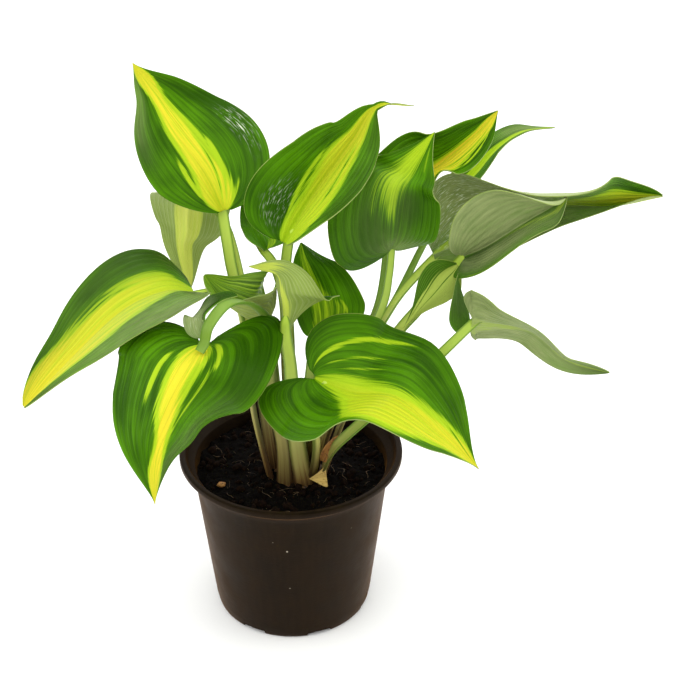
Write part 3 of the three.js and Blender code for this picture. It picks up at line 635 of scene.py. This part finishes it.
def backdrop_paint():
    """White studio floor: matt painted board."""
    material, add = new_material("studio_floor_paint")
    place = add("TexCoord", out="Object")
    tone = add("TexNoise", {"Vector": place, "Scale": 3, "Detail": 2})
    colour = add("ValToRGB", {0: tone}, stops=((0.3, "#FBFBFA"), (0.7, "#FEFEFD")))
    return finished(material, add, add("BsdfPrincipled", {"Base Color": colour, "Roughness": 0.8}))


# Curves and surfaces ---------------------------------------------------------------------


def spline(points, t):
    """Points of a smooth curve through evenly counted points, with mirrored end points."""
    knots = np.asarray(points, float)
    if knots.ndim == 1:
        knots = knots[:, None]
    spans = len(knots) - 1
    knots = np.vstack([2 * knots[0] - knots[1], knots, 2 * knots[-1] - knots[-2]])
    s = np.clip(np.asarray(t, float), 0, 1) * spans
    i = np.minimum(s.astype(int), spans - 1)
    f = (s - i)[..., None]
    a, b, c, d = knots[i], knots[i + 1], knots[i + 2], knots[i + 3]
    return 0.5 * (
        2 * b + (c - a) * f + (2 * a - 5 * b + 4 * c - d) * f**2 + (3 * b - a - 3 * c + d) * f**3
    )


def unit(vectors):
    return vectors / np.maximum(np.linalg.norm(vectors, axis=-1, keepdims=True), 1e-9)


def tangent(points, t):
    t = np.asarray(t, float)
    return unit(spline(points, np.clip(t + 0.001, 0, 1)) - spline(points, np.clip(t - 0.001, 0, 1)))


def length_of(points):
    steps = spline(points, np.linspace(0, 1, 41))
    return float(np.linalg.norm(np.diff(steps, axis=0), axis=1).sum())


def directions(points, t, head):
    """Along the curve, across it, and out of its upper side."""
    along = tangent(points, np.clip(t, 0, 1))
    angle = math.radians(head)
    level = np.array([math.sin(angle), -math.cos(angle), 0.0])
    across = unit(level - (along @ level)[..., None] * along)
    return along, across, np.cross(across, along)


def by_side(pair, v):
    """The left or the right one of a pair, by which side of the midrib v is on."""
    return np.where(v > 0, pair[1], pair[0])


def fullness(leaf, u, v):
    """Width along the leaf as a share of the half width on that side."""
    power = math.log(0.5) / math.log(leaf["wide"])
    share = np.sin(np.pi * np.clip(u / leaf["tail"], 0, 1) ** power) ** leaf["blunt"]
    if leaf["tail"] < 1:
        left = np.clip((1 - u) / (1 - leaf["tail"]), 0, 1)
        share = np.where(u > 0.5, np.maximum(share, TAIL_WIDTH * left**0.7), share)
    near = np.exp(-(((u - FLARE_AT) / FLARE_LONG) ** 2))
    return share * (1 + by_side(leaf["flare"], v) * near)


def blade_points(leaf, u, v):
    """Points of the blade: u along the midrib, v from -1 at the left margin to 1 at the right."""
    mid = leaf["mid"]
    k = np.abs(v)
    sign = by_side((-1, 1), v)
    x = u - by_side(leaf["lobe"], v) * LOBE_PULL * u * (1 - u) ** 6 * k**1.5
    along, across, out = directions(mid, x, leaf["head"])
    point = spline(mid, x) + np.minimum(x, 0)[..., None] * length_of(mid) * along
    turn = spline(leaf["roll"], x)[..., 0] * sign
    tilt = np.radians(spline(leaf["fold"], x)[..., 0] + turn)
    # A half with no curl is given a slight one, because its radius is worked out from it.
    bend = by_side([math.radians(c or 0.1) for c in leaf["curl"]], v)
    radius = by_side(leaf["half"], v) * fullness(leaf, u, v) / bend
    sideways = radius * (np.sin(tilt + bend * k) - np.sin(tilt))
    up = radius * (np.cos(tilt) - np.cos(tilt + bend * k))
    return point + (sign * sideways)[..., None] * across + up[..., None] * out


def blade_normals(leaf, u, v):
    """Directions out of the blade's upper side, taken from places close by."""
    along = blade_points(leaf, u + 0.01, v) - blade_points(leaf, np.maximum(u - 0.01, 1e-4), v)
    right, left = np.minimum(v + 0.05, 1), np.maximum(v - 0.05, -1)
    across = blade_points(leaf, u, right) - blade_points(leaf, u, left)
    return unit(np.cross(across, along))


def relief(leaf, u, v, seed):
    """Height over the smooth blade in mm: a grooved midrib, quilting between the veins, and a
    slow wave along the margin."""
    k = np.abs(v)
    width = by_side(leaf["half"], v) * fullness(leaf, u, v)
    room = np.clip(width / VEINS / 2.4, 0, 1)
    ribs = -leaf["quilt"] * room * np.cos(2 * np.pi * VEINS * k) * np.clip((1 - k) / 0.1, 0, 1)
    ribs *= np.clip((k - 0.03) / 0.08, 0, 1) * np.clip(u / 0.15, 0, 1)
    groove = -GROOVE_DEEP * (1 - u) ** 0.8 * np.exp(-((v * width / GROOVE_WIDE) ** 2))
    phase = 2 * np.pi * (u * MARGIN_WAVES + seed * 0.37) + np.sign(v) * 0.9
    margin = leaf["wave"] * k**3 * np.sin(phase)
    margin *= np.clip((1 - u) / 0.3, 0, 1) * np.clip(width / 12, 0, 1)
    return ribs + groove + margin


def pale_centre(leaf, u, v):
    """How far each place is inside the pale centre, from 0 in the green to 1."""
    low = spline(leaf["low"], u)[..., 0]
    high = spline(leaf["high"], u)[..., 0]
    inside = np.minimum(v - low, high - v)
    band = np.clip(0.5 + inside / leaf["soft"], 0, 1) * leaf["faint"]
    for u0, v0, u1, v1, wide, strength in leaf["streaks"]:
        t = (u - u0) / (u1 - u0)
        line = v0 + (v1 - v0) * np.clip(t, 0, 1)
        ends = np.clip(t / 0.25, 0, 1) * np.clip((1 - t) / 0.35, 0, 1)
        streak = strength * ends * np.exp(-(((v - line) / wide) ** 2))
        band = np.maximum(band, streak) if strength > 0 else band * (1 + streak)
    return band


def wax_layers(leaf, u, v):
    """Grey wax haze mixed with painted sheen, painted dark blue-green shade, and painted highlight
    flecks at each place.
    """
    haze = by_side(leaf["bloom_and_sheen"], v) * np.clip((1.15 - u) / 0.5, 0, 1)
    layers = {"haze": haze, "shade": np.zeros_like(u), "film": np.zeros_like(u)}
    # shade patches paint shade, film patches paint highlight flecks, haze patches add grey wax with
    # painted sheen.
    for kind, u0, v0, long, wide, strength in leaf["patches"]:
        near = ((u - u0) / long) ** 2 + ((v - v0) / wide) ** 2
        layers[kind] = np.clip(layers[kind] + strength * np.exp(-(near**1.5)), 0, 1)
    return np.stack(list(layers.values()), 1)


# Modelling -------------------------------------------------------------------------------


def start():
    """Deselects everything, before the next primitive is added."""
    if bpy.context.object and bpy.context.object.mode != "OBJECT":
        bpy.ops.object.mode_set(mode="OBJECT")
    bpy.ops.object.select_all(action="DESELECT")


def named(name):
    """The primitive that has just been added, under this name."""
    piece = bpy.context.object
    piece.name = name
    piece.data.name = name
    return piece


def corners(piece):
    """Every corner of a piece, in metres, as an array."""
    co = np.empty(len(piece.data.vertices) * 3)
    piece.data.vertices.foreach_get("co", co)
    return co.reshape(-1, 3)


def place_corners(piece, co):
    piece.data.vertices.foreach_set("co", np.ascontiguousarray(co, float).ravel())
    piece.data.update()


def keep_values(piece, name, values):
    """Keeps three numbers at each corner, for the materials to read."""
    layer = piece.data.attributes.new(name=name, type="FLOAT_VECTOR", domain="POINT")
    layer.data.foreach_set("vector", np.ascontiguousarray(values, float).ravel())


def apply(piece, kind, **settings):
    """Adds a modifier with its settings and applies it."""
    modifier = piece.modifiers.new(kind.title(), kind)
    for name, value in settings.items():
        setattr(modifier, name, value)
    bpy.context.view_layer.objects.active = piece
    bpy.ops.object.modifier_apply(modifier=modifier.name)


def cut_uprights(piece, cuts):
    """Subdivides the edges that run up an upright rod of height 2."""
    bpy.ops.object.mode_set(mode="EDIT")
    bpy.ops.mesh.select_mode(type="EDGE")
    bpy.ops.mesh.select_all(action="DESELECT")
    bpy.ops.object.mode_set(mode="OBJECT")
    for edge in piece.data.edges:
        a, b = (piece.data.vertices[i].co for i in edge.vertices)
        edge.select = abs(a.z - b.z) > 1
    bpy.ops.object.mode_set(mode="EDIT")
    bpy.ops.mesh.subdivide(number_cuts=cuts)
    bpy.ops.object.mode_set(mode="OBJECT")


def smooth(piece, angle=None):
    """Shades a piece smooth, except at edges sharper than the angle, if there is one."""
    bpy.ops.object.select_all(action="DESELECT")
    piece.select_set(True)
    bpy.context.view_layer.objects.active = piece
    if angle is None:
        bpy.ops.object.shade_smooth()
    else:
        bpy.ops.object.shade_smooth_by_angle(angle=math.radians(angle))


def join_frame(piece, slot, *nodes):
    """Puts a piece on the root body, in place of its CAD nodes."""
    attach(piece, "root")
    if nodes:
        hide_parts(*nodes)


def make_blade(name, leaf, materials, seed):
    """A flat grid laid over the blade's surface, then given its thickness."""
    start()
    across, along = leaf["grid"]
    bpy.ops.mesh.primitive_grid_add(x_subdivisions=across, y_subdivisions=along, size=2)
    piece = named(name)
    flat = corners(piece)
    v = flat[:, 0]
    # Rows stand closer together near the stalk, where the lobes bend most.
    share = (flat[:, 1] + 1) / 2
    u = leaf["first"] + (BLADE_END - leaf["first"]) * share**1.15
    raised = relief(leaf, u, v, seed)[:, None] * blade_normals(leaf, u, v)
    place_corners(piece, (blade_points(leaf, u, v) + raised) * MM)
    ripe = spline(leaf["ripe"], u)[:, 0]
    keep_values(piece, "marking", np.stack([pale_centre(leaf, u, v), ripe, np.abs(v)], 1))
    keep_values(piece, "wax", wax_layers(leaf, u, v))
    lengthwise = u * length_of(leaf["mid"])
    sideways = v * by_side(leaf["half"], v)
    keep_values(piece, "vein", np.stack([lengthwise, sideways, np.full_like(u, seed * 37.0)], 1))
    for material in materials:
        piece.data.materials.append(material)
    apply(
        piece, "SOLIDIFY", thickness=leaf["thick"] * MM, offset=-1, use_rim=True,
        material_offset=1 if len(materials) > 1 else 0,
        material_offset_rim=2 if len(materials) > 2 else 0,
    )
    smooth(piece)
    return piece


def stalk_path(key):
    """The stalk's way up, ending under the foot of its midrib, and how it is turned there."""
    leaf = LEAVES[key]
    foot, via = STALKS[key][:2]
    points = [(foot[0], foot[1], STALK_FOOT_Z), *via]
    if key in STALK_ENDS:
        points.append(STALK_ENDS[key])
        return points, leaf, 0.0
    mid = leaf["mid"]
    size = length_of(mid)
    begin = CAD_STALK_START + CAD_STALK_LAP / size
    turn = math.radians(leaf["roll"][0])
    for place, sink in zip((begin, begin + STALK_END / size), STALK_SINKS):
        along, across, out = directions(mid, np.array([place]), leaf["head"])
        upper = out[0] * math.cos(turn) - across[0] * math.sin(turn)
        points.append(tuple(spline(mid, np.array([place]))[0] - upper * sink))
    return points, leaf, float(STALK_END)


def make_stalk(key, material, seed):
    """An upright rod, subdivided along its length and drawn into a grooved stalk."""
    start()
    bpy.ops.mesh.primitive_cylinder_add(
        vertices=STALK_SIDES, radius=1, depth=2, end_fill_type="NGON"
    )
    piece = named(f"stalk_rib_{key}")
    cut_uprights(piece, STALK_STEPS - 1)
    path, leaf, lap = stalk_path(key)
    flat = corners(piece)
    t = (flat[:, 2] + 1) / 2
    total = length_of(path)
    x, s = flat[:, 0], flat[:, 1]
    along, across, out = directions(path, t, leaf["head"])
    turn = np.radians(leaf["roll"][0]) * t
    wide_way = across * np.cos(turn)[:, None] + out * np.sin(turn)[:, None]
    deep_way = out * np.cos(turn)[:, None] - across * np.sin(turn)[:, None]
    # Sheathing foot, slender middle, and a thin end that runs out under the midrib.
    tip = np.clip((1 - t) * total / max(lap * 1.2, 0.01), 0, 1) if lap else np.ones_like(t)
    (foot_half, neck_half), greenness = STALKS[key][2:]
    wide = neck_half + (foot_half - neck_half) * (1 - t) + 0.9 * np.exp(-t / 0.1)
    wide *= 0.35 + 0.65 * tip**0.6
    deep = (1.75 + 0.9 * (1 - t)) * (0.3 + 0.7 * tip**0.6)
    upper = 0.6 * s - 0.95 * s**2 * np.clip(t / 0.15, 0.2, 1)
    height = np.where(s > 0, upper, s)
    at = spline(path, t) + wide_way * (x * wide)[:, None] + deep_way * (height * deep)[:, None]
    place_corners(piece, at * MM)
    rise = t * np.clip(total / 110, 0.55, 1.1)
    keep_values(piece, "marking", np.stack([rise, np.abs(x), np.full_like(t, greenness)], 1))
    round_mm = np.arctan2(s, x) * 3
    keep_values(piece, "vein", np.stack([t * total, round_mm, np.full_like(t, seed * 31.0)], 1))
    piece.data.materials.append(material)
    smooth(piece, 50)
    return piece


def make_pot(material):
    """A disc drawn up ring by ring into the wall, the lip and the inside, with notches cut."""
    start()
    inner = RIM_RADIUS - LIP_WIDTH
    lip_z = POT_HEIGHT - LIP_HEIGHT
    slope = (NECK_RADIUS - BASE_RADIUS) / NECK_Z
    wall = {z: BASE_RADIUS + slope * z for z in (8, 12, 30, 60, 84, 92)}
    rings = [
        (FOOT_RADIUS + 1.6, 0.25), (BASE_RADIUS - 0.6, 1.2), (BASE_RADIUS - 0.1, 2.6),
        *((wall[z], z) for z in (8, 30, 60, 84, 92)),
        (NECK_RADIUS + 0.3, NECK_Z - 1), (NECK_RADIUS + 1.4, NECK_Z + 0.4),
        (RIM_RADIUS - 2.6, lip_z - 1.7), (RIM_RADIUS - 1.2, lip_z - 0.5), (RIM_RADIUS - 0.9, lip_z),
        (RIM_RADIUS - 0.2, lip_z + 0.15), (RIM_RADIUS, lip_z + 0.5),
        (RIM_RADIUS + 0.05, POT_HEIGHT - 1.4), (RIM_RADIUS - 0.15, POT_HEIGHT - 0.5),
        (RIM_RADIUS - 0.8, POT_HEIGHT - 0.05), (RIM_RADIUS - 1.8, POT_HEIGHT),
        (inner + 0.7, POT_HEIGHT - 0.2), (inner + 0.1, POT_HEIGHT - 0.9),
        (inner - 0.4, lip_z + 0.5), (inner - 1.5, lip_z - 1.5),
        (NECK_RADIUS - WALL + 0.4, NECK_Z + 0.8), (NECK_RADIUS - WALL - 0.3, NECK_Z - 1.5),
        (wall[60] - WALL, 60), (wall[12] - WALL, 12),
        (BASE_RADIUS - WALL - 1.5, FLOOR + 0.8), (BASE_RADIUS - WALL - 4, FLOOR),
    ]
    bpy.ops.mesh.primitive_circle_add(
        vertices=POT_SEGMENTS, radius=FOOT_RADIUS * MM, fill_type="NGON"
    )
    piece = named("pot_shell")
    bpy.ops.object.mode_set(mode="EDIT")
    bpy.ops.mesh.select_all(action="SELECT")
    radius, height = FOOT_RADIUS, 0.0
    for ring, z in rings:
        bpy.ops.mesh.extrude_region_move(
            TRANSFORM_OT_translate={"value": (0, 0, (z - height) * MM)}
        )
        bpy.ops.transform.resize(value=(ring / radius, ring / radius, 1))
        radius, height = ring, z
    bpy.ops.object.mode_set(mode="OBJECT")
    cutters = []
    for i in range(NOTCHES):
        angle = math.radians(NOTCH_FIRST + i * 360 / NOTCHES)
        start()
        bpy.ops.mesh.primitive_cube_add(
            size=1,
            location=(BASE_RADIUS * MM * math.cos(angle), BASE_RADIUS * MM * math.sin(angle), 0),
            rotation=(0, 0, angle),
        )
        cutter = bpy.context.object
        cutter.scale = (NOTCH_DEEP * 2 * MM, NOTCH_WIDE * MM, NOTCH_HIGH * 2 * MM)
        bpy.ops.object.transform_apply(location=True, rotation=True, scale=True)
        cutters.append(cutter)
    turn_outward(piece)
    for cutter in cutters:
        apply(piece, "BOOLEAN", object=cutter, operation="DIFFERENCE", solver="EXACT")
        bpy.data.objects.remove(cutter)
    piece.data.materials.append(material)
    smooth(piece, 32)
    return piece


def turn_outward(piece):
    """Turns a closed piece the right way out, if its volume comes out negative."""
    mesh = piece.data
    co = corners(piece)
    mesh.calc_loop_triangles()
    tris = np.array([t.vertices for t in mesh.loop_triangles])
    a, b, c = co[tris[:, 0]], co[tris[:, 1]], co[tris[:, 2]]
    if np.einsum("ij,ij->i", a, np.cross(b, c)).sum() < 0:
        bpy.context.view_layer.objects.active = piece
        bpy.ops.object.mode_set(mode="EDIT")
        bpy.ops.mesh.select_all(action="SELECT")
        bpy.ops.mesh.flip_normals()
        bpy.ops.object.mode_set(mode="OBJECT")


def soil_height(x, y):
    """Height of the compost in mm: heaped round the shoots, lumpy all over."""
    spot = Vector((x, y, 3.0))
    lumps = 1.5 * noise.noise(spot * 0.09) + 1.1 * noise.noise(spot * 0.28)
    lumps += 0.7 * noise.noise(spot * 0.7)
    middle = math.dist((x, y), HEAP_AT)
    heap = 3.2 * math.exp(-((middle / 24) ** 2))
    rim = 2.0 * max(0.0, (math.hypot(x, y) - 46) / 9)
    return SOIL_TOP - 1.2 + lumps + heap + rim * noise.noise(spot * 0.2)


def make_soil(material):
    """A square grid rounded to fill the pot, made lumpy, then closed below."""
    start()
    bpy.ops.mesh.primitive_grid_add(x_subdivisions=SOIL_CELLS, y_subdivisions=SOIL_CELLS, size=2)
    piece = named("peat_bed")
    flat = corners(piece)
    a, b = flat[:, 0], flat[:, 1]
    x = a * np.sqrt(1 - b**2 / 2) * SOIL_RADIUS
    y = b * np.sqrt(1 - a**2 / 2) * SOIL_RADIUS
    z = np.array([soil_height(p, q) for p, q in zip(x, y)])
    place_corners(piece, np.stack([x, y, z], 1) * MM)
    bpy.ops.object.mode_set(mode="EDIT")
    bpy.ops.mesh.select_mode(type="EDGE")
    bpy.ops.mesh.select_all(action="SELECT")
    bpy.ops.mesh.region_to_loop()
    bpy.ops.mesh.extrude_edges_move(
        TRANSFORM_OT_translate={"value": (0, 0, -SOIL_DEPTH * MM)}
    )
    bpy.ops.mesh.edge_face_add()
    bpy.ops.object.mode_set(mode="OBJECT")
    turn_outward(piece)
    piece.data.materials.append(material)
    smooth(piece, 60)
    return piece


def scatter(name, shape, spots, material):
    """One mesh that holds a copy of a small shape at each spot: (place, turn, scale)."""
    co = corners(shape)
    faces = [tuple(p.vertices) for p in shape.data.polygons]
    points, polygons = [], []
    for place, turn, scale in spots:
        base = len(points)
        spun = (co * np.array(scale)) @ np.array(turn).T + np.array(place)
        points.extend(map(tuple, spun * MM))
        polygons.extend(tuple(base + i for i in face) for face in faces)
    mesh = bpy.data.meshes.new(name)
    mesh.from_pydata(points, [], polygons)
    piece = bpy.data.objects.new(name, mesh)
    bpy.context.scene.collection.objects.link(piece)
    keep_values(piece, "vein", np.array(points) / MM)
    piece.data.materials.append(material)
    bpy.data.objects.remove(shape)
    smooth(piece)
    return piece


def spots_on_soil(count, rng, sizes, lift, tilt):
    """Places on the compost with a random turn and size, clear of the shoots."""
    spots = []
    while len(spots) < count:
        radius = SOIL_RADIUS * 0.97 * math.sqrt(rng.random())
        angle = rng.random() * 2 * math.pi
        x, y = radius * math.cos(angle), radius * math.sin(angle)
        if math.dist((x, y), SHOOTS_AT) < SHOOTS_CLEAR:
            continue
        turn = (
            Matrix.Rotation(rng.random() * 2 * math.pi, 3, "Z")
            @ Matrix.Rotation((rng.random() - 0.5) * 2 * tilt, 3, "X")
            @ Matrix.Rotation((rng.random() - 0.5) * 2 * tilt, 3, "Y")
        )
        size = sizes[0] + (sizes[1] - sizes[0]) * rng.random() ** 2.2
        stretch = 0.7 + 0.6 * rng.random(3)
        spots.append(((x, y, soil_height(x, y) + lift * size), turn, tuple(size * stretch)))
    return spots


def crumb_shape():
    """A lumpy ball of radius 1."""
    start()
    bpy.ops.mesh.primitive_ico_sphere_add(subdivisions=2, radius=1)
    piece = named("crumb")
    co = corners(piece)
    lumpy = [1 + 0.45 * noise.noise(Vector(p) * 1.4 + Vector((5, 2, 9))) for p in co]
    place_corners(piece, co * np.array(lumpy)[:, None])
    return piece


def fibre_shape(bow, curl):
    """A thin thread 10 mm long: a five sided rod, subdivided and bowed."""
    start()
    bpy.ops.mesh.primitive_cylinder_add(vertices=5, radius=1, depth=2, end_fill_type="NGON")
    piece = named("fibre")
    cut_uprights(piece, FIBRE_CUTS)
    co = corners(piece)
    t = co[:, 2]
    thin = 0.16 * (1.05 - t**4)
    x = t * 5
    y = co[:, 0] * thin + bow * (1 - t**2) * 2 + curl * np.sin(t * 4)
    z = co[:, 1] * thin + curl * np.cos(t * 3) * 0.6
    place_corners(piece, np.stack([x, y, z], 1))
    return piece


def make_crown(material):
    """The shoots' shared foot: a low disc drawn up and rounded off, mostly under the compost."""
    start()
    bpy.ops.mesh.primitive_circle_add(
        vertices=48, radius=CROWN_RADIUS * MM, fill_type="NGON",
        location=(SHOOTS_AT[0] * MM, SHOOTS_AT[1] * MM, CROWN_Z * MM),
    )
    piece = named("shoot_base")
    bpy.ops.object.transform_apply(location=True, rotation=True, scale=True)
    bpy.ops.object.mode_set(mode="EDIT")
    bpy.ops.mesh.select_all(action="SELECT")
    for ratio, rise in ((1.02, 3.4), (0.93, 1.6), (0.8, 0.7), (0.45, 0.4)):
        bpy.ops.mesh.extrude_region_move(TRANSFORM_OT_translate={"value": (0, 0, rise * MM)})
        bpy.ops.transform.resize(value=(ratio, ratio, 1))
    bpy.ops.object.mode_set(mode="OBJECT")
    apply(piece, "SUBSURF", levels=2, render_levels=2)
    turn_outward(piece)
    co = corners(piece)
    bump = np.array([noise.noise(Vector(p) * 260) for p in co])
    co[:, 2] += 0.0006 * bump
    place_corners(piece, co)
    keep_values(piece, "vein", co[:, (2, 0, 1)] / MM)
    piece.data.materials.append(material)
    smooth(piece)
    return piece


# Camera, lights and floor ----------------------------------------------------------------


def make_camera():
    camera = bpy.data.objects.new("camera", bpy.data.cameras.new("camera"))
    bpy.context.scene.collection.objects.link(camera)
    camera.location = Vector(CAMERA_AT) * MM
    camera.rotation_euler = (math.radians(90 - CAMERA_DOWN), 0, 0)
    camera.data.lens = CAMERA_LENS
    camera.data.sensor_width = 36
    camera.data.clip_start = 0.05
    camera.data.clip_end = 50
    bpy.context.scene.camera = camera


def make_light(name, place, aim_z, size, watts):
    """A softbox that faces the plant's axis at the height aim_z."""
    lamp = bpy.data.lights.new(name, "AREA")
    lamp.energy = watts
    lamp.size = size
    light = bpy.data.objects.new(name, lamp)
    light.location = place
    light.rotation_euler = (Vector((0, 0, aim_z)) - Vector(place)).to_track_quat("-Z", "Y").to_euler()
    bpy.context.scene.collection.objects.link(light)


def make_studio(material):
    world = bpy.data.worlds.new("white_studio")
    world.use_nodes = True
    world.node_tree.nodes["Background"].inputs["Color"].default_value = (1, 1, 1, 1)
    world.node_tree.nodes["Background"].inputs["Strength"].default_value = 1.0
    bpy.context.scene.world = world
    bpy.context.scene.view_settings.view_transform = "Standard"
    for light in LIGHTS:
        make_light(*light)
    start()
    bpy.ops.mesh.primitive_grid_add(x_subdivisions=8, y_subdivisions=8, size=30)
    floor = named("studio_floor")
    floor.data.materials.append(material)


# The plant -------------------------------------------------------------------------------

make_camera()
make_studio(backdrop_paint())

# Upper side: its dark line colour paints shade into the sunken veins.
upper = leaf_skin(
    "leaf_upper", ("#254D01", "#4A8003"), ("#9CBC1C", "#DCCB30"), ("#1D4002", 0.3), 0.34,
    "#8E9A64",
)
# Underside: its pale line colour paints light onto the raised veins.
under = leaf_skin(
    "leaf_under", ("#7C9040", "#91A552"), ("#BFCD50", "#D6DA66"), ("#AEBA80", 0.3), 0.5,
    "#A9B486",
)
membrane = leaf_skin(
    "stalk_membrane", ("#274F06", "#3E6C10"), ("#A3B650", "#B4C268"), ("#8DA044", 0.35), 0.4,
    "#8C9A68",
)
margin = leaf_margin()
stalk = stalk_skin()
dry = husk_skin("dry_scale", "#B98648", "#8A5228", "#4A2C14")
cream = husk_skin("cream_sheath", "#D2B468", "#B9924A", "#946E38")
crown_skin = husk_skin("crown_skin", "#6E4C28", "#3A2412", "#21140A")
brown = peat("peat_compost", "#020101", "#0E0906", 600)
bark = peat("bark_crumbs", "#080403", "#24150C", 500)

for seed, (key, leaf) in enumerate(LEAVES.items(), 1):
    blade = make_blade(f"leaf_blade_{key}", leaf, (upper, under, margin), seed)
    join_frame(blade, "leaf", f"leaf_{key}")
for seed, key in enumerate(STALKS, 1):
    join_frame(make_stalk(key, stalk, seed), "stalk", f"stalk_{key}")
wing = make_blade("stalk_wing", WING, (membrane, under, under), 21)
join_frame(wing, "stalk", "wing_13")
join_frame(make_blade("front_bract", FRONT_BRACT, (cream,), 22), "husk", "bract_front")
join_frame(make_blade("brown_scale", BROWN_SCALE, (dry,), 23), "husk", "scale_brown")

join_frame(make_pot(pot_plastic()), "pot", "pot")
join_frame(make_soil(brown), "soil", "soil")
join_frame(make_crown(crown_skin), "crown", "crown")

rng = np.random.default_rng(SEED)
crumbs = spots_on_soil(CRUMBS, rng, CRUMB_SIZES, 0.25, 3.1)
join_frame(scatter("peat_crumbs", crumb_shape(), crumbs, bark), "soil")
threads = spots_on_soil(THREADS, rng, THREAD_SIZES, 1.2, 0.5)
root_fibre = husk_skin("root_fibre", "#6E573C", "#2A1B10", "#150C07")
join_frame(scatter("root_threads", fibre_shape(0.7, 0.5), threads, root_fibre), "soil")
chip = ((*CHIP_AT, soil_height(*CHIP_AT) + 1.2), np.eye(3), CHIP_SIZE)
join_frame(scatter("bark_chip", crumb_shape(), [chip], dry), "soil")
